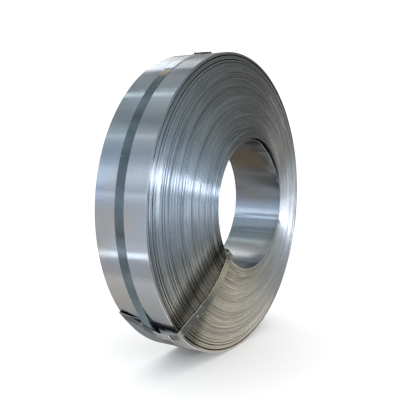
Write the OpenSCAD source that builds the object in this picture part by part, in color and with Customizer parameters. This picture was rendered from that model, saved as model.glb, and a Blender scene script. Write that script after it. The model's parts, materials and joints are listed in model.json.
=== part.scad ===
// A coil of nickel alloy strip that stands upright on its outer turn.
// Its turns are telescoped, so the inner ones stand out of the front face.
// One steel strap runs round the outside and one goes through the bore.
// The coil's axis lies along X, the front face looks to +X and Z points up.
// The origin is on the axis, halfway across the outer turn. All sizes are in millimetres.

/* [Coil] */
// Diameter over the outer turn
coil_d = 600; // [450:10:1000]
// Diameter of the bore
bore_d = 256; // [150:2:300]
// Width of the strip
strip_w = 110; // [70:1:200]
// How far the first turn stands out in front of the outer one
telescope = 36; // [10:1:50]
// Thickness of each step of the end faces, a few turns of thin strip thick
step_t = 3; // [2:0.5:6]
// Most that one step's edges stray from the even slope
edge_stray = 0.7; // [0:0.1:2]

/* [Gaps between turns] */
// How far the first open gap lies inside the rim
gap_1_in = 5.4; // [3:0.1:12]
// How far the second open gap lies inside the rim
gap_2_in = 14.8; // [13:0.1:30]
// Width of an open gap
gap_w = 1.3; // [0.6:0.1:2.5]
// Depth of an open gap from the front face
gap_deep = 9; // [3:0.5:20]
// Most that the loose first turn stands off the rest
crescent_w = 7; // [2:0.5:10]
// Direction in which the first turn stands off, turned from the top to the right
crescent_angle = 52; // [0:1:360]
// Depth of the crescent gap behind the first turn
crescent_deep = 50; // [10:1:70]

/* [Free end of the strip] */
// Place of the strip's cut end, turned from the top to the right
end_angle = 229.5; // [228:0.5:260]
// Length of strip that stands off the turn below
end_len = 95; // [60:5:150]
// How far the cut end lifts
end_lift = 4; // [1:0.5:8]
// Thickness of the lifted end
end_t = 1; // [0.5:0.1:2]

/* [Straps] */
// Width of the steel strap
strap_w = 19; // [13:0.5:32]
// Thickness of the steel strap
strap_t = 0.5; // [0.4:0.1:1.2]
// How far the band strap sits from the middle of the strip, to the rear
band_shift = 1; // [0:0.5:10]
// Place of the band strap's seal, turned from the top to the left
band_seal_angle = 8; // [5:1:40]
// How far the band strap's free end runs on past its seal
band_tail = 100; // [20:5:120]
// Place of the eye strap, turned from the top to the right
eye_angle = 225.2; // [200:0.1:250]
// Radius of the eye strap's bends at the bore
lip_bend_r = 8; // [4:0.5:12]
// Radius of the eye strap's bends at the rims
rim_bend_r = 3; // [2:0.5:6]

/* [Seals] */
// Length of a crimped seal along its strap
seal_len = 32; // [20:1:50]
// Thickness of a seal's sheet
seal_t = 0.9; // [0.5:0.1:1.5]
// How far a seal reaches past the strap's edges
seal_side = 1.6; // [1.2:0.1:3]
// Depth of a crimp notch in a seal's edge
notch_deep = 1; // [0.5:0.1:1.5]

/* [Hidden] */
$fn = 96;
eps = 0.05;

rim_r = coil_d / 2;
bore_r = bore_d / 2;
half_w = strip_w / 2;
step_count = round((rim_r - bore_r) / step_t);
true_step = (rim_r - bore_r) / step_count;
first_turn_r = bore_r + true_step;
bore_front = half_w + telescope;
bore_rear = telescope - half_w;

// The room round the strap inside a seal, and the seal's two crimps
seal_room = 0.15;
seal_in_w = strap_w + 2 * seal_room;
seal_out_w = strap_w + 2 * seal_side;
notch_w = 3.5;
notch_gap = seal_len / 3;

// The band strap and the free end that lies on it
band_x = -band_shift;
layers_t = 2 * strap_t;
tail_lap = strap_t * 0.6;
tail_r = rim_r + strap_t - tail_lap;
tail_sweep = band_tail / rim_r * 180 / PI;
seal_sweep = seal_len / rim_r * 180 / PI;
tail_past_seal = seal_sweep * 0.2;

// The strip's free end, held down by the band strap and bowed up on both sides of it
end_room = 1;
end_trim = 0.1;
end_proud = 0.1;
end_lap = 1;
end_sweep = end_len / rim_r * 180 / PI;
end_start = end_angle + end_sweep;
end_ease = end_lift / (1 - cos(end_sweep));
end_r = rim_r + end_proud + end_ease;
end_spans = [
    [-half_w, band_x - strap_w / 2 - end_room],
    [band_x + strap_w / 2 + end_room, half_w]
];

// The eye strap's bends, which carry it over the band strap where they cross
rim_tuck = rim_bend_r * 0.7;
rim_lift = rim_bend_r - rim_tuck;
cross_lift = rim_lift + strap_t;
cross_bend_r = 60;

// At the bore's ends the bends stand clear of the coil and lap the run through the bore
bore_lip = 1.8;
lip_room = 0.1;
lip_lap = 1;

steel_tint = [0.30, 0.34, 0.34];
strap_tint = [0.45, 0.44, 0.38];
seal_tint = [0.55, 0.56, 0.55];
coil_tint = [0.62, 0.63, 0.64];

// How far the turn at this radius is pushed to the front
function slope_at(r) = telescope * (rim_r - r) / (rim_r - bore_r);

// A fixed, uneven shift for each step, and none for the first and last
function stray(i) =
    (i == 0 || i == step_count - 1) ? 0 : edge_stray * (0.6 * sin(i * 137.5) + 0.4 * sin(i * 61));

function step_x(i) = telescope * (1 - i / (step_count - 1)) + stray(i);

// Both corners of one step's edge, on the end that lies at x = side
function step_edge(i, side) = [
    [bore_r + i * true_step, side + step_x(i)],
    [bore_r + (i + 1) * true_step, side + step_x(i)]
];

function backwards(list) = [for (i = [len(list) - 1 : -1 : 0]) list[i]];

// Turns a shape drawn round Z so that it is round X instead, with its Z end to the front
module along_axis() {
    rotate([0, 90, 0])
        children();
}

// A ring round the axis
module ring(r_in, r_out, x0, x1) {
    along_axis()
        translate([0, 0, x0])
            linear_extrude(x1 - x0)
                difference() {
                    circle(r_out);
                    circle(r_in);
                }
}

module coil_body() {
    front = [for (i = [0 : step_count - 1]) each step_edge(i, half_w)];
    rear = [for (i = [0 : step_count - 1]) each step_edge(i, -half_w)];
    along_axis()
        rotate_extrude()
            polygon(concat(front, backwards(rear)));
}

// An open gap between two turns, cut from the front
module front_gap(r, deep) {
    ring(r - gap_w / 2, r + gap_w / 2, half_w + slope_at(r) - deep, bore_front + eps);
}

// The loose first turn leaves a crescent gap that is widest on one side
module crescent_gap() {
    crescent_r = first_turn_r + crescent_w / 2;
    translate([bore_front - crescent_deep, 0, 0])
        along_axis()
            linear_extrude(crescent_deep + eps)
                difference() {
                    rotate(180 - crescent_angle)
                        translate([crescent_w / 2, 0])
                            circle(crescent_r);
                    circle(first_turn_r);
                }
}

// The strip's free end bows off the turn below it, on a wider circle
module lifted_end(x0, x1) {
    along_axis()
        rotate(180 - end_start)
            translate([-end_ease, 0])
                rotate(-end_lap)
                    rotate_extrude(angle = end_lap + end_len / end_r * 180 / PI)
                        translate([end_r - end_t, x0])
                            square([end_t, x1 - x0]);
}

module strip_coil() {
    color(coil_tint) {
        difference() {
            coil_body();
            front_gap(rim_r - gap_1_in, gap_deep);
            front_gap(rim_r - gap_2_in, gap_deep);
            front_gap(first_turn_r + gap_w / 2, gap_deep);
            crescent_gap();
        }
        for (x = end_spans)
            lifted_end(x[0] + end_trim, x[1] - end_trim);
    }
}

// The band strap's free end, which runs through the seal and on down the near side
module band_end() {
    start = -band_seal_angle - seal_sweep / 2 - tail_sweep;
    sweep = tail_sweep + seal_sweep + tail_past_seal;
    rotate([-start, 0, 0])
        along_axis()
            rotate(180 - sweep)
                rotate_extrude(angle = sweep)
                    translate([tail_r, band_x - strap_w / 2])
                        square([strap_t + tail_lap, strap_w]);
}

module band_strap() {
    color(steel_tint) {
        ring(rim_r, rim_r + strap_t, band_x - strap_w / 2, band_x + strap_w / 2);
        band_end();
    }
}

// A crimped sheet cap over a strap that runs along X, with the coil at Y = 0
module seal(room_t) {
    seal_out_t = room_t + seal_room + seal_t;
    difference() {
        translate([-seal_len / 2, 0, -seal_out_w / 2])
            cube([seal_len, seal_out_t, seal_out_w]);
        translate([-seal_len / 2 - eps, -eps, -seal_in_w / 2])
            cube([seal_len + 2 * eps, room_t + seal_room + eps, seal_in_w]);
        for (x = [-notch_gap / 2, notch_gap / 2])
            for (side = [-1, 1])
                translate([x - notch_w / 2, -eps, side * seal_out_w / 2 - notch_deep / 2])
                    cube([notch_w, seal_out_t + 2 * eps, notch_deep]);
    }
}

module band_seal() {
    color(seal_tint)
        rotate([band_seal_angle, 0, 0])
            translate([band_x, 0, rim_r])
                rotate([0, 0, 90])
                    rotate([90, 0, 0])
                        seal(layers_t);
}

// The eye strap is a belt round these bends, given as forward, outward and radius
eye_bends = [
    [bore_front + bore_lip, bore_r + lip_room + lip_bend_r, lip_bend_r],
    [half_w - rim_tuck, rim_r - rim_tuck, rim_bend_r],
    [band_x, rim_r + cross_lift - cross_bend_r, cross_bend_r],
    [-half_w + rim_tuck, rim_r - rim_tuck, rim_bend_r],
    [bore_rear - bore_lip, bore_r + lip_room + lip_bend_r, lip_bend_r]
];
bend_count = len(eye_bends);

function bend_at(i) = eye_bends[(i + bend_count) % bend_count];
function run_along(i) = bend_at(i + 1) - bend_at(i);
function run_apart(i) = norm([run_along(i)[0], run_along(i)[1]]);
function run_tilt(i) = asin((bend_at(i + 1)[2] - bend_at(i)[2]) / run_apart(i));
function run_heading(i) = atan2(run_along(i)[1], run_along(i)[0]) - run_tilt(i) - 90;
function bend_start(i) = run_heading(i - 1);
function bend_sweep(i) = (run_heading(i) - bend_start(i) + 720) % 360;
function bend_steps(i) = max(1, round(bend_sweep(i) / 10));

// Points round one bend, on a line this far out from the strap's inner side
function bend_points(i, out) = [
    for (k = [0 : bend_steps(i)])
        let (a = bend_start(i) + bend_sweep(i) * k / bend_steps(i))
        [bend_at(i)[0] + (bend_at(i)[2] + out) * cos(a), bend_at(i)[1] + (bend_at(i)[2] + out) * sin(a)]
];

// One side of the belt from the front of the bore, over the rims, to the rear of the bore
function belt_side(out) = concat(
    [bend_points(0, out)[0] - [lip_lap, 0]],
    [for (i = [0 : bend_count - 1]) each bend_points(i, out)],
    [[bend_at(bend_count - 1)[0] + lip_lap, bore_r + lip_room - out]]
);

// The belt outside the bore
module eye_belt() {
    translate([0, 0, -strap_w / 2])
        linear_extrude(strap_w)
            polygon(concat(belt_side(0), backwards(belt_side(strap_t))));
}

// The eye strap's run through the bore, curved to the bore's wall
module bore_run() {
    rear_x = bore_rear - bore_lip;
    front_x = bore_front + bore_lip;
    intersection() {
        ring(bore_r - strap_t, bore_r, rear_x - strap_w, front_x + strap_w);
        eye_place()
            translate([rear_x, 0, -strap_w / 2])
                cube([front_x - rear_x, rim_r, strap_w]);
    }
}

module eye_place() {
    rotate([-eye_angle, 0, 0])
        rotate([90, 0, 0])
            children();
}

module eye_strap() {
    color(strap_tint) {
        eye_place()
            eye_belt();
        bore_run();
    }
}

// The eye strap's seal lies on the outer turn, just in front of the band strap
module eye_seal() {
    seal_mid = band_x + strap_w / 2 + end_room + seal_len / 2;
    color(seal_tint)
        eye_place()
            translate([seal_mid, rim_r, 0])
                seal(cross_lift + strap_t);
}

strip_coil();
band_strap();
band_seal();
eye_strap();
eye_seal();
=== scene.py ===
import json
import math
import random
import bmesh
import bpy
from mathutils import Matrix, Vector, noise


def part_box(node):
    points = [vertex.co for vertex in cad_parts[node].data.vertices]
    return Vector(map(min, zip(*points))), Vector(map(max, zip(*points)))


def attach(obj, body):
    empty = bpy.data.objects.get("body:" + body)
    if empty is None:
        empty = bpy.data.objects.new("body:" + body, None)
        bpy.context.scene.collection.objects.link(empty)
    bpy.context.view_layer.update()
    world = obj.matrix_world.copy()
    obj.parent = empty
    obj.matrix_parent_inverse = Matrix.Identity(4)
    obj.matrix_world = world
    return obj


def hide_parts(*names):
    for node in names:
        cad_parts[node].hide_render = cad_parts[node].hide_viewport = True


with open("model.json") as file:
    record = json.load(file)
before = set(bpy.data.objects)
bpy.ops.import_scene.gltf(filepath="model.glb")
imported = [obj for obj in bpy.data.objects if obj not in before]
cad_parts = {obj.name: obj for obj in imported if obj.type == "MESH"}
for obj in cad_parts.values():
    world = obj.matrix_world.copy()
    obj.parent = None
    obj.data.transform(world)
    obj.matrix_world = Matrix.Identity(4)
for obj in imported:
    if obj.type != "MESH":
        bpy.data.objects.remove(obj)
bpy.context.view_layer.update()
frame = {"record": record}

# the coil's own measures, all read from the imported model
mm = 0.001
coilLow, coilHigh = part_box("strip_coil")
bandLow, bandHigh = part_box("band_strap")
rimR = coilHigh.z
boreR = frame["record"]["mounts"][0]["dims"]["r_mm"] / 1000
halfW = -coilLow.x  # half the strip's width, the outer turn is centred on the origin
telescope = coilHigh.x - halfW  # how far the first turn stands out to the front
bandX = (bandLow.x + bandHigh.x) / 2
bandW = bandHigh.x - bandLow.x


def placeAt(x, angle, radius):
    turned = math.radians(angle)
    return Vector((x, radius * math.sin(turned), radius * math.cos(turned)))


def angleOf(co):
    return math.degrees(math.atan2(co.y, co.z)) % 360


def smoothStep(value, low, high):
    t = min(1.0, max(0.0, (value - low) / (high - low)))
    return t * t * (3 - 2 * t)


def bump(value, middle, halfWidth):
    return math.exp(-((value - middle) / halfWidth) ** 2)


def readTable(table, value):
    # soft steps between the rows of a table of (place, height)
    if value <= table[0][0]:
        return table[0][1]
    for (low, lowHeight), (high, highHeight) in zip(table, table[1:]):
        if value <= high:
            return lowHeight + (highHeight - lowHeight) * smoothStep(value, low, high)
    return table[-1][1]


def fromTop(angle):
    # the same direction, counted from -180 to 180
    return angle if angle < 180 else angle - 360


def newGrid(columns, rows, size):
    bm = bmesh.new()
    bmesh.ops.create_grid(bm, x_segments=columns, y_segments=rows, size=size)
    return bm


def roundEdges(bm, edges, offset, segments):
    bmesh.ops.bevel(bm, geom=edges, offset=offset, segments=segments, affect="EDGES", profile=0.5, material=-1)


def faceOut(bm, isInward):
    bmesh.ops.recalc_face_normals(bm, faces=bm.faces)
    bm.normal_update()
    if isInward():
        bmesh.ops.reverse_faces(bm, faces=bm.faces[:])
        bm.normal_update()


def giveThickness(bm, thickness):
    bmesh.ops.solidify(bm, geom=bm.faces[:] + bm.edges[:] + bm.verts[:], thickness=thickness)
    bmesh.ops.recalc_face_normals(bm, faces=bm.faces)


def addToScene(name, data):
    thing = bpy.data.objects.new(name, data)
    bpy.context.scene.collection.objects.link(thing)
    return thing


def newMesh(bm, name, material):
    mesh = bpy.data.meshes.new(name)
    bm.to_mesh(mesh)
    bm.free()
    mesh.materials.append(material)
    return mesh


def finishPiece(bm, name, material, replaced, sharpAngle):
    mesh = newMesh(bm, name, material)
    mesh.shade_smooth()
    mesh.set_sharp_from_angle(angle=math.radians(sharpAngle))
    piece = addToScene(name, mesh)
    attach(piece, "root")
    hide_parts(replaced)


def fillInputs(tree, node, inputs):
    for key, value in inputs.items():
        if isinstance(value, bpy.types.NodeSocket):
            tree.links.new(value, node.inputs[key])
        else:
            node.inputs[key].default_value = value
    return node


def newNode(tree, kind, inputs=None, **settings):
    node = tree.nodes.new(kind)
    for key, value in settings.items():
        setattr(node, key, value)
    return fillInputs(tree, node, inputs or {})


def mathNode(tree, operation, *values):
    return newNode(tree, "ShaderNodeMath", dict(enumerate(values)), operation=operation).outputs[0]


def plus(tree, first, second):
    return mathNode(tree, "ADD", first, second)


def minus(tree, first, second):
    return mathNode(tree, "SUBTRACT", first, second)


def times(tree, first, *others):
    for other in others:
        first = mathNode(tree, "MULTIPLY", first, other)
    return first


def mixValues(tree, amount, first, second):
    return plus(tree, times(tree, first, minus(tree, 1.0, amount)), times(tree, second, amount))


def distance(tree, first, second):
    return mathNode(tree, "SQRT", plus(tree, times(tree, first, first), times(tree, second, second)))


def joinVector(tree, x, y, z):
    return newNode(tree, "ShaderNodeCombineXYZ", {0: x, 1: y, 2: z}).outputs[0]


def objectPlace(tree):
    place = tree.nodes.new("ShaderNodeTexCoord").outputs["Object"]
    return newNode(tree, "ShaderNodeSeparateXYZ", {0: place}).outputs


def attribute(tree, name):
    return newNode(tree, "ShaderNodeAttribute", attribute_name=name).outputs["Fac"]


def noiseNode(tree, vector, scale, detail, rough):
    inputs = {"Vector": vector, "Scale": scale, "Detail": detail, "Roughness": rough}
    return newNode(tree, "ShaderNodeTexNoise", inputs).outputs[0]


def spread(tree, value, low, high, newLow=0.0, newHigh=1.0):
    # soft step that turns the range low to high into newLow to newHigh
    return newNode(tree, "ShaderNodeMapRange", {0: value, 1: low, 2: high, 3: newLow, 4: newHigh},
                   interpolation_type="SMOOTHSTEP").outputs[0]


def between(tree, value, low, full, fading, high):
    # 1 from full to fading, and 0 below low and above high
    return times(tree, spread(tree, value, low, full), spread(tree, value, fading, high, 1.0, 0.0))


def mixColour(tree, amount, first, second, blend="MIX"):
    return newNode(tree, "ShaderNodeMix", {0: amount, 6: first, 7: second},
                   data_type="RGBA", blend_type=blend).outputs[2]


def tintedBy(tree, colour, tint):
    return mixColour(tree, 1.0, colour, tint, "MULTIPLY")


def rampNode(tree, value, stops, easing="EASE"):
    # every stop is a place and a colour, or a level of grey
    node = newNode(tree, "ShaderNodeValToRGB", {0: value})
    ramp = node.color_ramp
    ramp.interpolation = easing
    while len(ramp.elements) < len(stops):
        ramp.elements.new(0.5)
    for element, (spot, colour) in zip(ramp.elements, stops):
        red, green, blue = colour if isinstance(colour, tuple) else [colour] * 3
        element.position = spot
        element.color = (red, green, blue, 1)
    return node.outputs[0]


def firstChannel(tree, colour):
    return newNode(tree, "ShaderNodeSeparateColor", {0: colour}).outputs[0]


def nodeGroup(name, inputs, values, vectors=()):
    # inputs with their usual values, then the labels of its outputs
    group = bpy.data.node_groups.new(name, "ShaderNodeTree")
    for label, value in inputs.items():
        socket = group.interface.new_socket(name=label, in_out="INPUT", socket_type="NodeSocketFloat")
        socket.default_value = value
    for label in (*values, *vectors):
        kind = "NodeSocketVector" if label in vectors else "NodeSocketFloat"
        group.interface.new_socket(name=label, in_out="OUTPUT", socket_type=kind)
    return group, group.nodes.new("NodeGroupOutput")


def placeGroup(tree, group, inputs=None):
    node = tree.nodes.new("ShaderNodeGroup")
    node.node_tree = group
    return fillInputs(tree, node, inputs or {}).outputs


def newMaterial(name, metallic=1.0):
    material = bpy.data.materials.new(name)
    material.use_nodes = True
    tree = material.node_tree
    tree.nodes.clear()
    out = tree.nodes.new("ShaderNodeOutputMaterial")
    shader = tree.nodes.new("ShaderNodeBsdfPrincipled")
    shader.inputs["Metallic"].default_value = metallic
    tree.links.new(shader.outputs["BSDF"], out.inputs["Surface"])
    return material, tree, shader


def dressShader(tree, shader, colour, rough, height, grain):
    strength, depth = grain
    relief = newNode(tree, "ShaderNodeBump", {"Height": height, "Strength": strength, "Distance": depth})
    fillInputs(tree, shader, {"Base Color": colour, "Roughness": rough, "Normal": relief.outputs[0]})


def rubbed(tree, colour, marks, finish):
    return mixColour(tree, times(tree, marks["Rubs"], finish["rubShare"]), colour, finish["rub"])


def roundTheCoilGroup():
    # where a spot lies on the coil: its direction from the top as a part of a full circle, its radius,
    # how far forward it is, and its direction and forward place together as a smooth vector
    group, end = nodeGroup("roundTheCoil", {}, ("Angle", "Radius", "Forward"), ("Around",))
    x, y, z = objectPlace(group)
    radius = distance(group, y, z)
    angle = mathNode(group, "FRACT", mathNode(group, "DIVIDE", mathNode(group, "ARCTAN2", y, z), math.tau))
    around = joinVector(group, x, mathNode(group, "DIVIDE", y, radius), mathNode(group, "DIVIDE", z, radius))
    fillInputs(group, end, {"Angle": angle, "Radius": radius, "Forward": x, "Around": around})
    return group


def rollMarksGroup():
    # fine lines along the strip, soft clouds and sparse rubs, each from 0 to 1
    sizes = {"Lines": 700.0, "Clouds": 14.0, "Rubs": 90.0}
    group, end = nodeGroup("rollMarks", sizes, sizes)
    start = group.nodes.new("NodeGroupInput").outputs
    x, y, z = objectPlace(group)
    drawn = joinVector(group, times(group, x, start["Lines"]), times(group, y, 6.0), times(group, z, 6.0))
    lines = noiseNode(group, drawn, 1.0, 3, 0.6)
    wide = joinVector(group, times(group, x, 0.7), y, z)
    clouds = noiseNode(group, wide, start["Clouds"], 4, 0.6)
    across = joinVector(group, times(group, x, 0.25), y, z)
    rubs = spread(group, noiseNode(group, across, start["Rubs"], 2, 0.5), 0.62, 0.74)
    fillInputs(group, end, {"Lines": lines, "Clouds": clouds, "Rubs": rubs})
    return group


roundTheCoil = roundTheCoilGroup()
rollMarks = rollMarksGroup()
noiseSpan = (0.3, 0.7)  # where most of a noise's values lie

# every place in the finishes' tables is a direction from the top, as a part of a full circle
edgeFinish = {
    "tone": (0.66, 0.665, 0.68, 1),
    "anisotropy": 0.88,
    "rough": (0.36, 0.26),  # of a dull turn and a bright one
    "nicks": (0.14, 0.05 * mm),  # strength and depth
    "turnTones": (0.68, 1.12),  # the dullest turn and the brightest
    "groupTones": (0.82, 1.1),  # the same for a group of turns
    "dullest": 0.7,  # a few turns are dull all the way round
    "darkLine": 0.42,  # darker along the line between two turns
    "sunkTone": 0.05,  # light left deep between two turns
    # painted light and shade: the face's brightness and tint by direction, for the lamps and surroundings that its
    # turns mirror
    "paintedFaceLight": [
        (0.0, (0.70, 0.71, 0.70)), (0.18, (0.66, 0.68, 0.69)), (0.20, (0.84, 0.87, 0.89)),
        (0.22, (1.12, 1.16, 1.19)), (0.25, (1.0, 1.03, 1.05)), (0.261, (1.26, 1.29, 1.33)),
        (0.272, (1.15, 1.18, 1.22)), (0.285, (1.0, 1.02, 1.05)), (0.33, (0.95, 0.99, 1.04)),
        (0.37, (1.25, 1.25, 1.24)), (0.42, (1.45, 1.43, 1.39)), (0.46, (1.34, 1.31, 1.24)),
        (0.50, (1.2, 1.15, 1.06)), (0.54, (0.98, 0.95, 0.87)), (0.58, (0.66, 0.65, 0.6)),
        (0.60, (0.50, 0.49, 0.45)), (0.63, (0.44, 0.43, 0.40)), (0.675, (0.42, 0.455, 0.465)),
        (0.695, (0.50, 0.55, 0.57)), (0.715, (0.90, 0.98, 1.02)), (0.73, (0.96, 1.04, 1.10)),
        (0.767, (0.80, 0.90, 0.99)), (0.778, (0.58, 0.655, 0.73)), (0.789, (0.74, 0.83, 0.915)),
        (0.80, (0.74, 0.81, 0.885)), (0.806, (0.675, 0.75, 0.82)), (0.811, (0.71, 0.79, 0.855)),
        (0.822, (0.87, 0.97, 1.04)), (0.85, (0.82, 0.90, 0.94)), (0.88, (0.84, 0.92, 0.95)),
        (1.0, (0.70, 0.71, 0.70))],
    "strapMirrorNear": (0.672, 0.024),  # painted reflection of the eye strap, a dark streak beside it: its direction at the bore and half width
    "strapMirrorFar": (0.637, 0.012),  # the same at the rim
    "strapMirrorRagged": 1.6,
    "strapMirrorDark": 0.34,
    "shadeSpan": (-0.008, 0.006, 0.04, 0.06),  # the shade between the streak and the eye strap
    "shade": (0.30, 0.46),  # light left there by the bore and further out
    "shadeFrom": (22 * mm, 50 * mm),  # where the one goes over into the other, from the bore
    "calmTurns": (142, 152),  # from the first to the second of these the turns grow more alike
    "calmest": 0.75,
    # painted light: the rim turns' brightness by direction, where they catch the lamps
    "paintedRimLight": [(0.0, 0.8), (0.2, 0.85), (0.225, 0.98), (0.25, 1.05), (0.275, 1.15), (0.31, 0.88),
                 (0.5, 0.8), (0.745, 0.8), (0.765, 0.56), (0.797, 0.50), (0.808, 0.74), (0.85, 0.86),
                 (1.0, 0.8)],
    # how much alike the turns are: 0 leaves them as different as they are
    "alike": [(0.0, 0.1), (0.22, 0.1), (0.26, 0.4), (0.31, 0.4), (0.38, 0.3), (0.56, 0.3), (0.61, 0.5),
              (0.70, 0.5), (0.74, 0.2), (0.77, 0.6), (0.81, 0.6), (0.84, 0.3), (1.0, 0.1)],
    "alikeTone": 0.78,
    "lipGlow": 0.45,  # painted highlight: how much brighter the first turns are below the bore
    "lipTurns": (1.5, 3.0),
    "lipSpan": (0.28, 0.36, 0.58, 0.64),
}


def edgeMaterial():
    finish = edgeFinish
    material, tree, shader = newMaterial("turnEdges")
    # the edges are drawn along the strip
    tangent = newNode(tree, "ShaderNodeTangent", direction_type="RADIAL", axis="X").outputs[0]
    fillInputs(tree, shader, {"Anisotropic": finish["anisotropy"], "Anisotropic Rotation": 0.25,
                              "Tangent": tangent})
    place = placeGroup(tree, roundTheCoil)
    angle, radius = place["Angle"], place["Radius"]
    around = newNode(tree, "ShaderNodeSeparateXYZ", {0: place["Around"]}).outputs
    turn = attribute(tree, "turn")
    number = mathNode(tree, "FLOOR", turn)

    def alongTurns(which, perTurn, perRound):
        return joinVector(tree, times(tree, which, perTurn), times(tree, around[1], perRound),
                          times(tree, around[2], perRound))

    # every turn fades from bright to dull and back on its way round
    fading = noiseNode(tree, alongTurns(number, 0.83, 1.3), 1.0, 2, 0.6)
    groups = noiseNode(tree, alongTurns(turn, 0.12, 1.6), 1.0, 3, 0.6)
    ownTone = newNode(tree, "ShaderNodeTexWhiteNoise", {"W": number}, noise_dimensions="1D").outputs["Value"]
    fromMiddle = mathNode(tree, "ABSOLUTE", minus(tree, mathNode(tree, "FRACT", turn), 0.5))
    tone = times(tree, spread(tree, fading, 0.32, 0.62, *finish["turnTones"]),
                 spread(tree, groups, *noiseSpan, *finish["groupTones"]),
                 spread(tree, ownTone, 0.0, 0.3, finish["dullest"], 1.0),
                 spread(tree, fromMiddle, 0.30, 0.5, 1.0, finish["darkLine"]))
    tone = mixValues(tree, firstChannel(tree, rampNode(tree, angle, finish["alike"], "LINEAR")),
                     tone, finish["alikeTone"])
    # near the rim the turns take the painted rim light
    tone = mixValues(tree, spread(tree, turn, *finish["calmTurns"], 0.0, finish["calmest"]), tone,
                     firstChannel(tree, rampNode(tree, angle, finish["paintedRimLight"], "LINEAR")))
    # the painted reflection of the strap leans from one direction at the bore to another at the rim
    outwards = newNode(tree, "ShaderNodeMapRange", {0: radius, 1: boreR, 2: rimR}).outputs[0]
    (nearSpot, nearHalf), (farSpot, farHalf) = finish["strapMirrorNear"], finish["strapMirrorFar"]
    middle = plus(tree, times(tree, outwards, farSpot - nearSpot), nearSpot)
    half = plus(tree, times(tree, outwards, farHalf - nearHalf), nearHalf)
    off = mathNode(tree, "ABSOLUTE", minus(tree, angle, middle))
    ragged = plus(tree, mathNode(tree, "DIVIDE", off, half),
                  times(tree, minus(tree, fading, 0.5), finish["strapMirrorRagged"]))
    tone = times(tree, tone, spread(tree, ragged, 0.35, 1.25, finish["strapMirrorDark"], 1.0))
    # less light reaches the face between the streak and the strap
    shaded = between(tree, minus(tree, middle, angle), *finish["shadeSpan"])
    shadeNear, shadeFar = finish["shadeFrom"]
    deepest = spread(tree, radius, boreR + shadeNear, boreR + shadeFar, *finish["shade"])
    tone = times(tree, tone, minus(tree, 1.0, times(tree, shaded, minus(tree, 1.0, deepest))))
    # painted highlight where the first turns catch the light along the bore's lip
    lip = times(tree, spread(tree, turn, *finish["lipTurns"], finish["lipGlow"], 0.0),
                between(tree, angle, *finish["lipSpan"]))
    tone = times(tree, tone, plus(tree, 1.0, lip),
                 spread(tree, attribute(tree, "sunk"), 0.3, 1.0, 1.0, finish["sunkTone"]))
    grey = newNode(tree, "ShaderNodeCombineColor", {0: tone, 1: tone, 2: tone}).outputs[0]
    colour = tintedBy(tree, finish["tone"], grey)
    # painted light and shade by direction
    colour = tintedBy(tree, colour, rampNode(tree, angle, finish["paintedFaceLight"], "LINEAR"))
    nicks = noiseNode(tree, alongTurns(turn, 1.7, 16.0), 1.0, 2, 0.5)
    rough = spread(tree, fading, 0.25, 0.75, *finish["rough"])
    dressShader(tree, shader, colour, rough, nicks, finish["nicks"])
    return material


sheetFinish = {
    "marks": {"Lines": 620.0, "Clouds": 11.0, "Rubs": 75.0},
    "cool": (0.56, 0.61, 0.68, 1),
    "warm": (0.60, 0.59, 0.585, 1),
    "line": (0.42, 0.42, 0.42, 1),
    "rub": (0.75, 0.76, 0.78, 1),
    "lineShare": 0.07,
    "rubShare": 0.22,
    "rough": (0.12, 0.24),
    "rubRough": 0.12,
    "grain": (0.05, 0.04 * mm),  # strength and depth
    # painted reflections: how bright the outer turn is, in bands by direction
    "paintedTreadReflections": [(0.0, 1.0), (0.64, 1.0), (0.656, 1.16), (0.692, 1.18), (0.699, 0.86), (0.709, 0.84),
              (0.716, 0.93), (0.722, 1.12), (0.728, 1.2), (0.735, 1.1), (0.767, 1.06), (0.7725, 1.36),
              (0.778, 0.93), (0.806, 0.99), (0.811, 0.92), (0.822, 1.03), (0.828, 1.4), (0.833, 1.02),
              (0.843, 0.87), (0.85, 1.03), (0.86, 1.2), (0.867, 1.27), (0.8725, 1.05), (0.879, 0.9),
              (0.885, 1.1), (0.902, 1.2), (0.909, 0.95), (0.9145, 0.75), (0.925, 0.7), (0.935, 0.82),
              (0.945, 0.95), (1.0, 1.0)],
    "paintedTreadFrom": (3 * mm, 2 * mm),  # inside the rim
    "lowTint": (1.05, 1.01, 0.93, 1),  # less of the window's blue reaches the low side
    "lowSpan": (0.63, 0.66, 0.69, 0.715),
    # painted reflections on the bore's wall, by direction
    "paintedReflectionTones": [(0.0, 0.9), (0.06, (0.92, 0.90, 0.84)), (0.09, (1.14, 0.98, 0.78)), (0.145, (1.18, 1.02, 0.84)),
             (0.162, (1.0, 0.93, 0.86)), (0.176, (0.80, 0.80, 0.79)), (0.195, (0.56, 0.585, 0.595)),
             (0.22, (0.52, 0.54, 0.55)), (0.25, (0.50, 0.51, 0.52)), (0.275, (0.85, 0.83, 0.81)),
             (0.295, (1.1, 1.08, 1.06)), (0.31, 0.96), (0.335, 0.8), (0.37, 0.75), (0.39, 0.85), (0.41, 1.05),
             (0.437, 1.02), (0.455, 0.72), (0.47, 0.42), (0.49, (0.27, 0.27, 0.26)), (0.53, (0.17, 0.17, 0.165)),
             (0.6, 0.95), (1.0, 0.9)],
    "boreTonesReach": (8 * mm, 16 * mm),  # from the bore's wall
    "brightEdge": (0.9 * mm, 0.4 * mm),  # the painted reflections stop short of the first turn's bright edge
    # painted shade towards the front of the bore, at the top
    "frontBoreShade": (0.3, 0.3, 0.3, 1),
    "frontShadeShare": 0.45,
    "frontShadeSpan": (0.15, 0.18),
    "frontShadeFrom": (58 * mm, 82 * mm),
    # painted shade in the hollow under the straps where they stand off the outer turn
    "paintedHollowShade": (0.035, 0.035, 0.04, 1),
    "hollowShadeAt": (20 * mm, 0.633),  # how far forward, and the direction
    "hollowShadeHalf": (19 * mm, 0.0105),
    "hollowShadeShare": 0.94,
}


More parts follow.
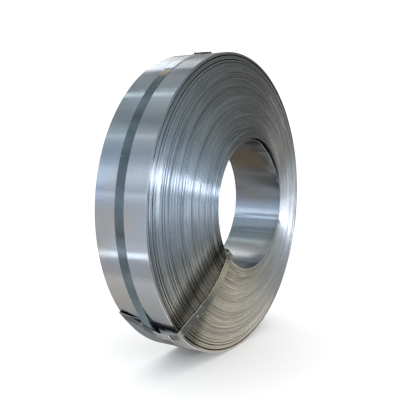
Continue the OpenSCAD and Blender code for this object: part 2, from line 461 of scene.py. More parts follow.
def sheetMaterial():
    finish = sheetFinish
    material, tree, shader = newMaterial("stripSheet")
    marks = placeGroup(tree, rollMarks, finish["marks"])
    place = placeGroup(tree, roundTheCoil)
    angle, radius, forward = place["Angle"], place["Radius"], place["Forward"]
    colour = mixColour(tree, spread(tree, marks["Clouds"], 0.38, 0.66), finish["cool"], finish["warm"])
    lines = spread(tree, marks["Lines"], *noiseSpan, 0.0, finish["lineShare"])
    colour = mixColour(tree, lines, colour, finish["line"], "MULTIPLY")
    colour = rubbed(tree, colour, marks, finish)
    # the bore's wall, with its painted reflections
    boreNear, boreFar = finish["boreTonesReach"]
    edgeNear, edgeFar = finish["brightEdge"]
    inBore = times(tree, spread(tree, radius, boreR + boreNear, boreR + boreFar, 1.0, 0.0),
                   spread(tree, forward, halfW + telescope - edgeNear, halfW + telescope - edgeFar, 1.0, 0.0))
    # painted shade near the bore's front, at the top
    top = times(tree, spread(tree, angle, *finish["frontShadeSpan"], 1.0, 0.0), spread(tree, forward, *finish["frontShadeFrom"]))
    paintedReflectionTones = mixColour(tree, times(tree, top, finish["frontShadeShare"]), rampNode(tree, angle, finish["paintedReflectionTones"]),
                     finish["frontBoreShade"])
    colour = mixColour(tree, inBore, colour, tintedBy(tree, colour, paintedReflectionTones))
    # the outer turn, with its painted reflections
    treadNear, treadFar = finish["paintedTreadFrom"]
    outside = spread(tree, radius, rimR - treadNear, rimR - treadFar)
    paintedTreadReflections = rampNode(tree, angle, finish["paintedTreadReflections"])
    colour = mixColour(tree, outside, colour, tintedBy(tree, colour, paintedTreadReflections))
    lowSide = times(tree, outside, between(tree, angle, *finish["lowSpan"]))
    colour = mixColour(tree, lowSide, colour, tintedBy(tree, colour, finish["lowTint"]))
    # painted shade under the straps
    away = [mathNode(tree, "DIVIDE", minus(tree, spot, middle), half)
            for spot, middle, half in zip((forward, angle), finish["hollowShadeAt"], finish["hollowShadeHalf"])]
    paintedHollowShade = times(tree, spread(tree, distance(tree, *away), 0.45, 1.15, finish["hollowShadeShare"], 0.0),
                minus(tree, 1.0, inBore))
    colour = mixColour(tree, paintedHollowShade, colour, finish["paintedHollowShade"])
    rough = plus(tree, spread(tree, marks["Clouds"], *noiseSpan, *finish["rough"]),
                 times(tree, marks["Rubs"], finish["rubRough"]))
    dressShader(tree, shader, colour, rough, marks["Lines"], finish["grain"])
    return material


strapFinish = {
    "marks": {"Lines": 900.0, "Clouds": 26.0, "Rubs": 160.0},
    "blue": (0.17, 0.22, 0.235, 1),
    "wearAndHighlight": (0.25, 0.30, 0.32, 1),
    "rub": (0.42, 0.45, 0.46, 1),
    "rubShare": 0.4,
    # painted reflections: how bright the blue film looks, by direction
    "paintedReflectionTones": [(0.0, 0.3), (0.5, 1.0), (0.655, 1.6), (0.685, 1.2), (0.7, 1.0), (0.706, 0.66), (0.714, 0.62),
             (0.722, 1.3), (0.729, 1.0), (0.738, 0.7), (0.745, 1.05), (0.77, 1.12), (0.785, 0.72),
             (0.81, 0.72), (0.82, 0.95), (0.828, 1.15), (0.838, 1.0), (0.846, 0.66), (0.851, 0.7),
             (0.858, 1.15), (0.868, 1.25), (0.874, 0.92), (0.884, 0.72), (0.89, 0.72), (0.898, 0.95),
             (0.965, 1.0), (0.975, 0.3)],
    # the strap's other end is bare, and painted bright as a highlight that grows towards the crest, with rust
    # where the film stops
    "bare": (0.94, 0.95, 0.98, 1),
    "bareLow": (0.66, 0.68, 0.72, 1),
    "bareSpan": (0.9115, 0.9155, 0.968, 0.98),
    "paintedHighlightFrom": (0.93, 0.948),
    "rust": (0.45, 0.33, 0.20, 1),
    "rustSpan": (0.903, 0.909, 0.912, 0.918),
    "rustShare": (0.45, 0.9),
    "rough": (0.3, 0.44),
    "bareSmooth": 0.2,  # how much smoother the bare end is
    "grain": (0.25, 0.05 * mm),
}


def bluedMaterial():
    finish = strapFinish
    material, tree, shader = newMaterial("bluedSteel")
    marks = placeGroup(tree, rollMarks, finish["marks"])
    clouds = marks["Clouds"]
    angle = placeGroup(tree, roundTheCoil)["Angle"]
    colour = mixColour(tree, spread(tree, clouds, 0.35, 0.7), finish["blue"], finish["wearAndHighlight"])
    colour = rubbed(tree, colour, marks, finish)
    colour = tintedBy(tree, colour, rampNode(tree, angle, finish["paintedReflectionTones"]))
    # painted highlight on the bare end
    bare = between(tree, angle, *finish["bareSpan"])
    shine = mixColour(tree, spread(tree, angle, *finish["paintedHighlightFrom"]), finish["bareLow"], finish["bare"])
    colour = mixColour(tree, bare, colour, shine)
    rust = times(tree, between(tree, angle, *finish["rustSpan"]),
                 spread(tree, clouds, 0.3, 0.6, *finish["rustShare"]))
    colour = mixColour(tree, rust, colour, finish["rust"])
    rough = minus(tree, spread(tree, clouds, *noiseSpan, *finish["rough"]),
                  times(tree, bare, finish["bareSmooth"]))
    dressShader(tree, shader, colour, rough, marks["Lines"], finish["grain"])
    return material


oliveFinish = {
    "marks": {"Clouds": 30.0, "Rubs": 190.0},
    # two shades each: by the bore, on the face and at the rim
    "olive": ((0.19, 0.185, 0.145, 1), (0.24, 0.235, 0.185, 1)),
    "dull": ((0.04, 0.047, 0.05, 1), (0.06, 0.068, 0.072, 1)),
    "bare": ((0.20, 0.205, 0.21, 1), (0.28, 0.285, 0.29, 1)),
    "oliveTo": (20 * mm, 75 * mm),  # from the bore and from the rim
    "bareFrom": 8 * mm,
    "rub": (0.7, 0.7, 0.7, 1),
    "rubShare": 0.35,
    "wearAndHighlight": (0.6, 0.6, 0.56, 1),
    "edgeHighlightShare": (0.35, 0.8),
    "rough": (0.2, 0.36),
    "dimples": (0.2, 0.2 * mm),
}


def oliveMaterial():
    # olive and dull by the bore, bare grey at the rim and over the outer turn
    finish = oliveFinish
    material, tree, shader = newMaterial("oliveSteel")
    marks = placeGroup(tree, rollMarks, finish["marks"])
    clouds = marks["Clouds"]
    radius = placeGroup(tree, roundTheCoil)["Radius"]
    shade = spread(tree, clouds, 0.35, 0.7)
    olive, dull, bare = [mixColour(tree, shade, *finish[coat]) for coat in ("olive", "dull", "bare")]
    fromBore, fromRim = finish["oliveTo"]
    colour = mixColour(tree, spread(tree, radius, boreR + fromBore, rimR - fromRim), olive, dull)
    colour = mixColour(tree, spread(tree, radius, rimR - finish["bareFrom"], rimR), colour, bare)
    colour = rubbed(tree, colour, marks, finish)
    # painted highlight along the eye strap's left edge, where it catches the light
    wearAndHighlight = times(tree, spread(tree, attribute(tree, "wearAndHighlight"), 0.62, 0.9),
                 spread(tree, clouds, 0.25, 0.6, *finish["edgeHighlightShare"]))
    colour = mixColour(tree, wearAndHighlight, colour, finish["wearAndHighlight"])
    rough = spread(tree, clouds, *noiseSpan, *finish["rough"])
    dressShader(tree, shader, colour, rough, clouds, finish["dimples"])
    return material


sealFinish = {
    "marks": {"Clouds": 60.0},
    "spangles": 420.0,
    "dark": (0.66, 0.67, 0.68, 1),
    "pale": (0.86, 0.87, 0.88, 1),
    "dirt": (0.45, 0.44, 0.42, 1),
    "dirtShare": 0.5,
    "rough": (0.14, 0.26),
    "dimples": (0.3, 0.2 * mm),
}


def sealMaterial():
    # galvanised sheet with faint spangles
    finish = sealFinish
    material, tree, shader = newMaterial("sealSteel")
    clouds = placeGroup(tree, rollMarks, finish["marks"])["Clouds"]
    place = tree.nodes.new("ShaderNodeTexCoord").outputs["Object"]
    spangles = newNode(tree, "ShaderNodeTexVoronoi", {"Vector": place, "Scale": finish["spangles"]})
    plate = firstChannel(tree, spangles.outputs["Color"])
    colour = mixColour(tree, spread(tree, plate, 0.0, 1.0), finish["dark"], finish["pale"])
    dirt = spread(tree, clouds, 0.5, 0.75, 0.0, finish["dirtShare"])
    colour = mixColour(tree, dirt, colour, finish["dirt"])
    rough = spread(tree, plate, 0.0, 1.0, *finish["rough"])
    dressShader(tree, shader, colour, rough, clouds, finish["dimples"])
    return material


turnEdges = edgeMaterial()
stripSheet = sheetMaterial()
bluedSteel = bluedMaterial()
oliveSteel = oliveMaterial()
sealSteel = sealMaterial()
print("finishes mixed")

turns = {
    "thickness": 1.0 * mm,  # of the strip
    "valley": 0.35 * mm,  # how deep the line between two turns is
    "rimValley": 0.12 * mm,  # the same near the rim
    "calmFrom": 150,  # the first turn near the rim
    "calmOver": 8,  # turns over which they grow calm
    "shoulder": 0.24,  # part of the thickness that each rounded edge takes
    "stray": 0.7 * mm,  # most that a group of turns stands in or out
    "unevenness": 0.14 * mm,  # the same for a single turn
    "midStray": 0.6,  # part of both that is left halfway out
    "midTurns": (40, 80),
    "rimStray": 0.4,  # the same near the rim
    "rearStray": 0.3 * mm,
    "drift": 0.9 * mm,  # how far the turns are from perfect circles
    "tilt": 0.02 * mm,  # how unevenly a single turn's edge is cut
    "wave": 0.35 * mm,  # how much an edge weaves in and out on its way round
    "openGaps": {156: 9 * mm, 157: 9 * mm, 165: 9 * mm, 166: 9 * mm, 151: 5 * mm, 161: 1.2 * mm},
    "deepLines": 26,  # turns that lie a little behind their neighbours
    "deepLine": (0.35 * mm, 1.1 * mm),
    # directions and half widths where the gaps near the rim are pressed shut
    "closed": [(286, 20), (120, 42)],
    "closedPart": 0.92,  # how much of such a gap is gone
    "closedBelow": 0.3 * mm,
    "darkFrom": 2.6 * mm,  # below this depth no light reaches between two turns
    # how far the turns by the bore stand off the first one at the front, by direction
    "crescent": [(-10, 0.0), (16, 3.0 * mm), (45, 5.5 * mm), (60, 5.5 * mm), (76, 1.2 * mm), (100, 0.0)],
    "crescentDepth": 50 * mm,
    "innerEnd": 112,  # where the strip starts in the bore
    "outerEnd": 229.5,  # where the strip ends on the outside
}
turnT = turns["thickness"]
turnCount = round((rimR - boreR) / turnT)
calmSpan = (turns["calmFrom"] - turns["calmOver"], turns["calmFrom"])
dice = random.Random(11)

# one shift along the axis for every turn, front and rear alike
turnShift = []
for i in range(turnCount):
    swell = turns["stray"] * (0.6 * math.sin(i * 0.8) + 0.4 * math.sin(i * 0.37 + 2))
    calm = 1 - (1 - turns["midStray"]) * smoothStep(i, *turns["midTurns"])
    calm -= (turns["midStray"] - turns["rimStray"]) * smoothStep(i, *calmSpan)
    turnShift.append((0.6 * swell + dice.uniform(-1, 1) * turns["unevenness"]) * calm)
for i in dice.sample(range(4, turnCount - 6), turns["deepLines"]):
    turnShift[i] -= dice.uniform(*turns["deepLine"])
for i, depth in turns["openGaps"].items():
    turnShift[i] = -depth
turnTilt = [dice.uniform(-1, 1) * turns["tilt"] for i in range(turnCount)]
rearShift = [dice.uniform(-1, 1) * turns["rearStray"] for i in range(turnCount)]
for i in dice.sample(range(4, turnCount - 6), turns["deepLines"]):
    rearShift[i] += dice.uniform(*turns["deepLine"])


def slopeAt(radius):
    return telescope * (rimR - radius) / (rimR - boreR)


def faceRows(first, last, side):
    # the outline across the turns' edges on one face, side is 1 at the front and -1 at the rear
    rows = []
    shifts = turnShift if side > 0 else rearShift

    def edgeX(i):
        i = min(max(i, first), last - 1)
        return side * halfW + slopeAt(boreR + (i + 0.5) * turnT) + shifts[i]

    for i in range(first, last):
        low = boreR + i * turnT
        valley = turns["valley"] if i < turns["calmFrom"] else turns["rimValley"]
        rows.append((side * (min(edgeX(i) * side, edgeX(i - 1) * side) - valley), low))
        rows.append((edgeX(i) + turnTilt[i], low + turns["shoulder"] * turnT))
        rows.append((edgeX(i) - turnTilt[i], low + (1 - turns["shoulder"]) * turnT))
    rows.append((side * (edgeX(last - 1) * side - turns["valley"]), boreR + last * turnT))
    return rows


def turnMove(co):
    radius = math.hypot(co.y, co.z)
    angle = angleOf(co)
    turned = math.radians(angle)
    inside = smoothStep(radius, boreR + 2 * turnT, boreR + 30 * turnT)
    inside *= 1 - smoothStep(radius, rimR - 10 * turnT, rimR - turnT)
    drift = turns["drift"] * inside * (
        0.6 * math.sin(2 * turned + 1.3 + radius * 30) + 0.4 * math.sin(3 * turned + 0.7 - radius * 45))
    gap = readTable(turns["crescent"], fromTop(angle))
    atFront = smoothStep(co.x, halfW + telescope - turns["crescentDepth"], halfW + telescope - 8 * mm)
    nearBore = 1 - smoothStep(radius, boreR + turnT, boreR + 40 * turnT)
    spiralIn = ((angle - turns["innerEnd"]) % 360) / 360 * turnT
    nearRim = smoothStep(radius, rimR - 14 * turnT, rimR - turnT)
    spiralOut = ((turns["outerEnd"] - angle) % 360) / 360 * turnT
    moved = radius + drift + (gap * atFront + spiralIn) * nearBore - spiralOut * nearRim
    wave = noise.noise(placeAt(radius * 420, angle, 2.2))
    return placeAt(co.x + wave * turns["wave"], angle, moved)


def turnRing(name, first, last, segments, wallRows=1):
    bm = bmesh.new()
    outline = faceRows(first, last, 1) + faceRows(first, last, -1)[::-1]
    # the wall towards the bore gets more rows where it has to bend
    (rearX, wallR), frontX = outline[-1], outline[0][0]
    for k in range(1, wallRows):
        outline.append((rearX + (frontX - rearX) * k / wallRows, wallR))
    ring = [bm.verts.new(placeAt(x, 0, r)) for x, r in outline]
    edges = [bm.edges.new(pair) for pair in zip(ring, ring[1:] + ring[:1])]
    bmesh.ops.spin(bm, geom=ring + edges, cent=(0, 0, 0), axis=(-1, 0, 0), angle=math.tau,
                   steps=segments, use_merge=True, use_duplicate=False)
    turnLayer = bm.verts.layers.float.new("turn")  # the turn that a spot belongs to, for the finish
    sunkLayer = bm.verts.layers.float.new("sunk")  # 0 on the faces, 1 deep between two turns
    for vert in bm.verts:
        radius = math.hypot(vert.co.y, vert.co.z)
        vert[turnLayer] = (radius - boreR) / turnT
        depth = min(halfW + slopeAt(radius) - vert.co.x, vert.co.x + halfW - slopeAt(radius))
        if vert.co.x > 0 and depth > turns["closedBelow"] and vert[turnLayer] > calmSpan[0]:
            pressed = max(bump(angleOf(vert.co), middle, half) for middle, half in turns["closed"])
            pressed *= turns["closedPart"]
            vert.co.x += depth * pressed
            depth *= 1 - pressed
        vert[sunkLayer] = min(max(0.0, depth / turns["darkFrom"]), 1.0)
        vert.co = turnMove(vert.co)
    bmesh.ops.recalc_face_normals(bm, faces=bm.faces)
    finishPiece(bm, name, turnEdges, "strip_coil", 75)


turnRing("inner_turns", 1, 58, 180, 12)
turnRing("middle_turns", 58, 114, 180)
turnRing("outer_turns", 114, 158, 200)
turnRing("rim_turns", 158, turnCount - 1, 240)
print("turns wound")


def bentSheet(name, start, sweep, rows, width, centreX, thickness, radiusAt, material, replaced,
              edgeRound, firmEdge, outward=1, slant=0):
    # a flat grid, its length along the turn and its width along the axis, bent round and given its thickness
    bm = newGrid(360, rows, 0.5)
    for vert in bm.verts:
        along, across = vert.co.x + 0.5, vert.co.y * width
        if 0.5 - 1.5 / rows < abs(vert.co.y) < 0.5 - 0.5 / rows:
            # the outermost rows lie close to the edges, so that the sheet stays flat up to them
            across = math.copysign(width / 2 - firmEdge, across)
        angle = start + sweep * along - slant * 2 * vert.co.y * max(0.0, 1 - along * 9)
        vert.co = placeAt(centreX + across, angle, radiusAt(abs(sweep) * along, across, angle))
    patch = bm.faces[:][0]
    away = patch.calc_center_median()
    away.x = 0
    faceOut(bm, lambda: patch.normal.dot(away) * outward < 0)
    giveThickness(bm, thickness)
    bm.normal_update()
    corners = [e for e in bm.edges if len(e.link_faces) == 2 and e.calc_face_angle() > math.radians(50)]
    roundEdges(bm, corners, edgeRound, 2)
    finishPiece(bm, name, material, replaced, 60)


firstTurn = {
    "creases": [(109, 1.3, 0.35 * mm), (124, 1.6, 0.45 * mm)],  # direction, half width in degrees and height
    "dent": (143, 66 * mm, 5 * mm, 0.6 * mm),  # direction, place, radius and depth
    # how far its front edge stands into the bore by direction
    "sprung": [(-20, 0.0), (8, 1.5 * mm), (32, 7.0 * mm), (52, 8.5 * mm), (66, 5.0 * mm), (84, 0.0)],
    "waves": 0.12 * mm,
}


def firstTurnRadius(along, across, angle):
    radius = boreR + along / 360 * turnT
    angle %= 360
    for middle, half, height in firstTurn["creases"]:
        radius -= height * bump(angle, middle, half) * smoothStep(across, -halfW, 0)
    radius -= readTable(firstTurn["sprung"], fromTop(angle)) * smoothStep(across, -halfW, halfW)
    direction, forward, size, depth = firstTurn["dent"]
    away = math.hypot(math.radians(angle - direction) * boreR, across + telescope - forward)
    radius += depth * bump(away, 0, size)
    return radius + noise.noise(placeAt(across * 14, angle, 3.5)) * firstTurn["waves"]


freeEnd = {
    "sweep": 9.0,  # how far round the strip stands off the turn below
    "lift": 3.2 * mm,
    "liftOver": 34 * mm,  # behind the band, over which it rises fully
    "slant": 4.6,  # the cut leans by this many degrees at each edge
    "waves": 0.16 * mm,
}


def outerTurnRadius(along, across, angle):
    radius = rimR - along / 360 * turnT
    bow = max(0.0, 1 - along / freeEnd["sweep"]) ** 2
    behind = bandX - bandW / 2 - across
    wave = noise.noise(placeAt(across * 16, angle, 7)) * smoothStep(abs(along - 180), 180, 172)
    return radius + freeEnd["lift"] * bow * smoothStep(behind, 0, freeEnd["liftOver"]) + wave * freeEnd["waves"]


bentSheet("first_turn", turns["innerEnd"], 360, 16, 2 * halfW, telescope, turnT, firstTurnRadius,
          stripSheet, "strip_coil", 0.2 * mm, 0.7 * mm, outward=-1)
bentSheet("outer_turn", turns["outerEnd"], -360, 24, 2 * halfW, 0, turnT, outerTurnRadius,
          stripSheet, "strip_coil", 0.2 * mm, 0.7 * mm, slant=freeEnd["slant"])

band = {
    "thickness": 0.5 * mm,
    "innerEnd": 356,
    "tailEnd": 330,
    "bridgeAt": 227.5,  # where it runs over the strip's end
    "bridgeHalf": 12.0,  # degrees on each side in which it stands off the outer turn
    "lap": (350, 358),  # how far round it climbs onto its own start
}


def bridgeLift(angle):
    # a taut strap runs straight from the outer turn to the hump and straight back
    off = band["bridgeHalf"] - abs(angle - band["bridgeAt"])
    return rimR * (1 / math.cos(math.radians(off)) - 1) if off > 0 else 0.0


def bandRadius(along, across, angle):
    # it follows the spiral of the outer turn, and under the bridge it goes evenly over the strip's end
    half = band["bridgeHalf"]
    beyond = (angle - turns["outerEnd"] + half) % 360 - half
    spiral = 1 - beyond / 360 if beyond > half else 0.5 + 0.5 * beyond / half
    lap = smoothStep(along, *band["lap"])
    return rimR - spiral * turnT + band["thickness"] * (1 + lap) + bridgeLift(angle % 360)


bentSheet("band", band["innerEnd"], -(360 + band["innerEnd"] - band["tailEnd"]), 6, bandW, bandX,
          band["thickness"], bandRadius, bluedSteel, "band_strap", 0.12 * mm, 0.5 * mm)
print("sheets bent")


eyeStrap = {
    "angle": 225.2,
    "thickness": 0.5 * mm,
    "overRim": 0.35 * mm,  # how far it lies outside the rim, inside the bore and off the faces
    "underBore": 0.55 * mm,
    "offFace": 0.7 * mm,
    "standOff": 2.6 * mm,  # how far the bends stand out of the bore's ends
    "lipRound": 2.4 * mm,
    "rimRound": 4.5 * mm,
    "intoBore": 9 * mm,  # slack of the loop beside the bore's lip
    "edgeHeight": 0.9 * mm,  # how far its lower edge stands off the front face
    "drawnIn": 0.80,  # its width at the bore's lip against the full one
    # how far it stands off the outer turn, from the rear rim to the front one
    "humps": [(-57 * mm, 1.6 * mm), (-42 * mm, 2.6 * mm), (-25 * mm, 3.0 * mm), (-11 * mm, 6.7 * mm),
              (9 * mm, 7.2 * mm), (22 * mm, 8.2 * mm), (40 * mm, 7.6 * mm), (58 * mm, 4.8 * mm)],
    "driftSpan": (-57 * mm, 25 * mm),  # where it comes back, over the outer turn
    "drift": 6.4,  # degrees that it wanders at the rear rim
    "driftFront": -0.8,
    "driftBore": 6.0,
    # degrees that it wanders on the front face, from the bore to the rim
    "sway": [(130 * mm, 1.4), (150 * mm, -2.7), (172 * mm, -5.0), (203 * mm, -5.7), (240 * mm, -4.1),
             (270 * mm, -2.4), (288 * mm, -1.4), (301 * mm, -0.8)],
}


def strapDrift(x):
    straight = smoothStep(x, *eyeStrap["driftSpan"])
    return eyeStrap["drift"] * (1 - straight) + eyeStrap["driftFront"] * straight


def spinAbout(bm, verts, degrees):
    bmesh.ops.rotate(bm, cent=(0, 0, 0), matrix=Matrix.Rotation(-math.radians(degrees), 3, "X"), verts=verts)


def eyeStrapPiece():
    high, low = rimR + eyeStrap["overRim"], boreR - eyeStrap["underBore"]
    corners = [
        (coilHigh.x + eyeStrap["standOff"], low, eyeStrap["lipRound"]),
        (halfW + eyeStrap["offFace"], high, eyeStrap["rimRound"]),
        (-halfW - eyeStrap["offFace"], high, eyeStrap["rimRound"]),
        (telescope - halfW - eyeStrap["standOff"], low, eyeStrap["lipRound"]),
    ]
    width = bandW  # both straps are cut from the same stock
    bm = bmesh.new()
    edgeHighlightLayer = bm.verts.layers.float.new("wearAndHighlight")  # 1 along the left edge, where a highlight is painted, for the finish
    outline = [bm.verts.new((x, -width / 2, r)) for x, r, bend in corners]
    side = bm.faces.new(outline)
    pulled = bmesh.ops.extrude_face_region(bm, geom=[side])["geom"]
    bmesh.ops.translate(bm, vec=(0, width, 0), verts=[v for v in pulled if isinstance(v, bmesh.types.BMVert)])
    for x, r, bend in corners:
        across = [e for e in bm.edges if all(abs(v.co.x - x) < 1e-6 and abs(v.co.z - r) < 1e-6 for v in e.verts)]
        roundEdges(bm, across, bend, 7)
    bm.normal_update()
    bmesh.ops.delete(bm, geom=[f for f in bm.faces if abs(f.normal.y) > 0.9], context="FACES_ONLY")
    long = [e for e in bm.edges if abs(e.verts[0].co.x - e.verts[1].co.x) > 30 * mm]
    bmesh.ops.subdivide_edges(bm, edges=long, cuts=31)
    across = [e for e in bm.edges if abs(e.verts[0].co.y - e.verts[1].co.y) > width * 0.9]
    bmesh.ops.subdivide_edges(bm, edges=across, cuts=5)
    outermost = max(bm.verts, key=lambda v: v.co.z)
    faceOut(bm, lambda: outermost.normal.z < 0)
    places = []
    for vert in bm.verts:
        x, y, r = vert.co
        inBore = 1 - smoothStep(r, boreR, boreR + 14 * mm)
        onTread = smoothStep(r, rimR - 30 * mm, rimR)
        slack = eyeStrap["intoBore"] * inBore * bump(x, coilHigh.x - 6 * mm, 16 * mm)
        onFace = smoothStep(x, halfW - 1 * mm, halfW + 2 * mm) * smoothStep(r, rimR - 4 * mm, rimR - 14 * mm)
        height = x - halfW - slopeAt(max(r, boreR))
        reach = min(max(0.0, height - eyeStrap["edgeHeight"]) / (width / 2), 0.3)
        twist = -math.asin(reach) * onFace
        y *= 1 - (1 - eyeStrap["drawnIn"]) * onFace * smoothStep(r, rimR - 60 * mm, boreR + 10 * mm)
        lift = readTable(eyeStrap["humps"], x) * onTread
        # the sheet's outward side is kept when it is turned edge-on
        leaned = vert.normal * (y * math.sin(twist))
        moved = Vector((x + leaned.x, y * math.cos(twist),
                        r - inBore * y * y / (2 * boreR) - slack + leaned.z + lift))
        outwards = smoothStep(r, boreR + 10 * mm, rimR)
        wander = eyeStrap["driftBore"] * (1 - outwards) + strapDrift(x) * outwards
        inside = coilHigh.x - 16 * mm
        front = smoothStep(x, halfW - 6 * mm + (inside - halfW) * inBore,
                           halfW + 2 * mm + (inside + 14 * mm - halfW) * inBore)
        wander += (readTable(eyeStrap["sway"], r) - wander) * front
        places.append((vert, moved, wander))
    for vert, moved, wander in places:
        # only the left edge gets the painted highlight
        vert[edgeHighlightLayer] = 1.0 if vert.co.y > width * 0.49 else 0.0
        vert.co = moved
        spinAbout(bm, [vert], wander)
    faceOut(bm, lambda: outermost.normal.z < 0)
    giveThickness(bm, eyeStrap["thickness"])
    spinAbout(bm, bm.verts, eyeStrap["angle"])
    finishPiece(bm, "eye_belt", oliveSteel, "eye_strap", 50)


eyeStrapPiece()


seal = {
    "length": 32 * mm,
    "inside": 19.3 * mm,  # room for the strap between the sides
    "sheet": 0.9 * mm,
    "corner": 0.9 * mm,
    "crimps": (-0.17, 0.17),  # places of the crimps along the length
    "crimpWidth": 3.4 * mm,
    "crimpDeep": 1.3 * mm,
    "crimpHigh": 0.35 * mm,  # how far a crimp pushes the sheet up beside it
    "flare": 1.1 * mm,  # how far the lips at the ends are bent up
    "lipLong": 2.4 * mm,
}


def sealPiece(name, replaced, material, room, angle, centreX, along):
    # along is "axis" for a seal on the eye strap and "turn" for one on the band
    bm = newGrid(36, 26, 0.5)
    corner = seal["corner"]
    halfIn, halfLong = seal["inside"] / 2, seal["length"] / 2
    flat = halfIn - corner
    arc = corner * math.pi / 2
    for vert in bm.verts:
        s, u = vert.co.x * seal["length"], vert.co.y * 2 * (flat + arc + room)
        way, u = math.copysign(1, u), abs(u)
        if u < flat:
            w, h = u, room + corner
        elif u < flat + arc:
            a = (u - flat) / corner
            w, h = flat + corner * math.sin(a), room + corner * math.cos(a)
        else:
            w, h = halfIn, room - (u - flat - arc)
        fromCrimps = [(s - place * seal["length"]) / (seal["crimpWidth"] / 2) for place in seal["crimps"]]
        crimp = sum(math.exp(-off ** 4) for off in fromCrimps)
        pinch = smoothStep(w, flat - 3.5 * mm, halfIn)
        w -= seal["crimpDeep"] * crimp * pinch
        h += seal["crimpHigh"] * crimp * smoothStep(w, flat - 5 * mm, flat) * smoothStep(h, 0, room)
        lip = smoothStep(abs(s), halfLong - seal["lipLong"], halfLong)
        h += seal["flare"] * lip * smoothStep(w, flat - 6 * mm, halfIn)
        w += 0.6 * seal["flare"] * lip * pinch
        vert.co = Vector((s, way * w, h))
    faceOut(bm, lambda: bm.faces[len(bm.faces) // 2].normal.z < 0)
    giveThickness(bm, -seal["sheet"])
    for vert in bm.verts:
        s, w, h = vert.co
        if along == "axis":
            x = centreX + s
            turned = angle + strapDrift(x) + math.degrees(w / rimR)
            vert.co = placeAt(x, turned, rimR + h + readTable(eyeStrap["humps"], x))
        else:
            vert.co = placeAt(centreX + w, angle + math.degrees(s / rimR), rimR + h)
    finishPiece(bm, name, material, replaced, 40)


sealPiece("band_clip", "band_seal", bluedSteel, 0.7 * mm, 354, bandX, "turn")
sealPiece("eye_clip", "eye_seal", sealSteel, 0.3 * mm, eyeStrap["angle"], bandX + bandW / 2 + 17 * mm, "axis")
print("straps and seals made")


cameraView = {
    "turn": 31.634,  # degrees round the coil
    "height": 6.958,  # degrees above the horizon
    "lean": -0.614,
    "away": 2.1933,  # distance in coil diameters
    "lens": 57.18,
    "shiftRight": -0.0327,
    "shiftUp": 0.0044,
}
turned, raised = math.radians(cameraView["turn"]), math.radians(cameraView["height"])
back = Vector((math.sin(turned) * math.cos(raised), -math.cos(turned) * math.cos(raised), math.sin(raised)))
cameraData = bpy.data.cameras.new("camera")
camera = addToScene("camera", cameraData)
lean = Matrix.Rotation(math.radians(cameraView["lean"]), 4, "Z")
looking = (-back).to_track_quat("-Z", "Y").to_matrix().to_4x4() @ lean
camera.matrix_world = Matrix.Translation(back * cameraView["away"] * 2 * rimR) @ looking
cameraData.lens = cameraView["lens"]
cameraData.sensor_width = 36
cameraData.shift_x = cameraView["shiftRight"]
cameraData.shift_y = cameraView["shiftUp"]
cameraData.clip_end = 200
bpy.context.scene.camera = camera


def glossyOnly(tree, output, others, mirrored):
    # what is mirrored in the metal differs from what lights the coil
    isGlossy = tree.nodes.new("ShaderNodeLightPath").outputs["Is Glossy Ray"]
    chosen = newNode(tree, "ShaderNodeMixShader", {0: isGlossy, 1: others.outputs[0], 2: mirrored.outputs[0]})
    tree.links.new(chosen.outputs[0], output.inputs["Surface"])


# painted light and shade: to the metal the floor glows grey, with a painted pool of light in front of the coil and
# painted shade behind it
floorTones = {
    "own": (0.9, 0.9, 0.9, 1),
    "rearLeft": (0.57, 0.58, 0.60, 1),
    "rearRight": (0.12, 0.115, 0.105, 1),
    "paintedRearShade": (0.2, 0.205, 0.21, 1),
    "frontGlow": (1.9, 1.79, 1.57, 1),
    "frontLeft": (0.42, 0.46, 0.52, 1),
    "frontAway": (0.22, 0.22, 0.21, 1),
    "glowAt": 0.25,  # how far in front of the coil's middle
    "glowReach": (0.18, 0.5),
}
paleFloor, tree, shader = newMaterial("paleFloor", 0.0)
fillInputs(tree, shader, {"Base Color": floorTones["own"], "Roughness": 0.9})
x, y, z = objectPlace(tree)
rearTone = mixColour(tree, spread(tree, y, -0.5, 0.1), floorTones["rearLeft"], floorTones["rearRight"])
# painted shade on the floor behind the coil, seen only in the metal
dull = times(tree, spread(tree, minus(tree, x, y), 0.12, 0.26, 1.0, 0.0), spread(tree, x, -0.5, -0.36, 1.0, 0.0))
rearTone = mixColour(tree, dull, rearTone, floorTones["paintedRearShade"])
# painted pool of light on the floor in front of the coil
reach = distance(tree, minus(tree, x, floorTones["glowAt"]), y)
frontTone = mixColour(tree, spread(tree, reach, *floorTones["glowReach"]),
                      floorTones["frontGlow"], floorTones["frontAway"])
frontTone = mixColour(tree, spread(tree, y, -0.45, -0.15), floorTones["frontLeft"], frontTone)
tone = mixColour(tree, spread(tree, x, -0.1, 0.3), rearTone, frontTone)
seen = newNode(tree, "ShaderNodeEmission", {"Color": tone})
glossyOnly(tree, tree.nodes["Material Output"], shader, seen)
bm = newGrid(1, 1, 30)
bmesh.ops.translate(bm, vec=(0, 0, -rimR - 0.6 * mm), verts=bm.verts)
floor = addToScene("floor", newMesh(bm, "floor", paleFloor))

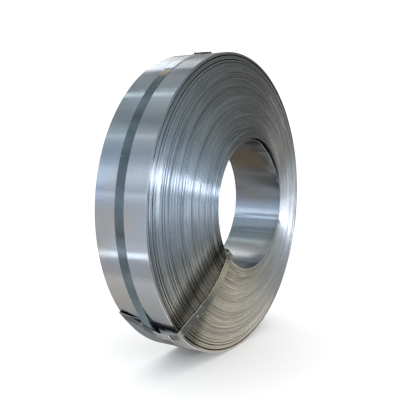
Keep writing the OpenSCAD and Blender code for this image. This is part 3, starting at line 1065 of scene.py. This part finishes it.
# soft panels: where each stands, its size, brightness and tint, and which way its long side lies
panels = {
    "frontWindow": ((2.75, 0.125, 0.32), (3.0, 0.31), 8.5, (0.93, 0.97, 1.0), (0.0, -0.944, 0.33)),
    "frontGlow": ((1.6, 0.38, -0.2), (1.6, 0.14), 2.4, (0.85, 0.93, 1.0), (0.0, -0.99, 0.14)),
    "leftWindow": ((-1.25, -1.47, 0.58), (1.3, 0.38), 0.34, (0.84, 0.93, 1.0)),
    "lowStrip": ((-0.08, -0.385, -0.128), (0.165, 0.018), 1.2, (0.86, 0.93, 1.0)),
    "roofStrip": ((-0.85, -0.13, 1.3), (1.2, 0.09), 0.9, (0.86, 1.0, 0.97)),
    "farStrip": ((-1.22, 0.64, 0.70), (0.88, 0.62), 0.9, (0.95, 0.98, 1.0)),
    "crestStrip": ((-1.02, 0.52, 0.685), (0.84, 0.66), 0.78, (0.97, 0.99, 1.0)),
    "farGlow": ((-0.8, 0.56, 0.95), (1.4, 0.3), 0.75, (0.9, 0.95, 1.0)),
}


def softPanel(name, at, size, bright, tint, long=(1, 0, 0)):
    data = bpy.data.lights.new(name, "AREA")
    data.shape = "RECTANGLE"
    data.size, data.size_y = size
    data.energy = bright * math.pi * size[0] * size[1]
    data.color = tint
    lamp = addToScene(name, data)
    facing = Vector(at).normalized()
    side = Vector(long)
    side = (side - facing * side.dot(facing)).normalized()
    turnedIn = Matrix((side, facing.cross(side), facing)).transposed().to_4x4()
    lamp.matrix_world = Matrix.Translation(at) @ turnedIn
    lamp.visible_camera = False


for name, settings in panels.items():
    softPanel(name, *settings)

# the room, white to the eye and grey to the metal: its tones from low to high, and its right side
roomTones = [(0.0, (0.48, 0.57, 0.69)), (0.17, (0.54, 0.65, 0.80)), (0.34, (0.57, 0.69, 0.84)),
             (0.52, (0.40, 0.47, 0.54)), (0.66, (0.46, 0.55, 0.58)), (0.74, (0.26, 0.30, 0.32)),
             (0.82, (0.34, 0.40, 0.42)), (1.0, (0.5, 0.5, 0.5))]
roomRight = (0.30, 0.31, 0.305, 1)
roomWhite = 1.3
world = bpy.data.worlds.new("softRoom")
bpy.context.scene.world = world
world.use_nodes = True
tree = world.node_tree
tree.nodes.clear()
out = tree.nodes.new("ShaderNodeOutputWorld")
way = newNode(tree, "ShaderNodeSeparateXYZ", {0: tree.nodes.new("ShaderNodeTexCoord").outputs["Generated"]})
heights = rampNode(tree, way.outputs["Z"], roomTones)
tone = mixColour(tree, spread(tree, way.outputs["Y"], -0.1, 0.5), heights, roomRight)
room = newNode(tree, "ShaderNodeBackground", {"Color": tone})
white = newNode(tree, "ShaderNodeBackground", {"Color": (1, 1, 1, 1), "Strength": roomWhite})
glossyOnly(tree, out, white, room)
bpy.context.scene.view_settings.view_transform = "Standard"

print("scene ready")
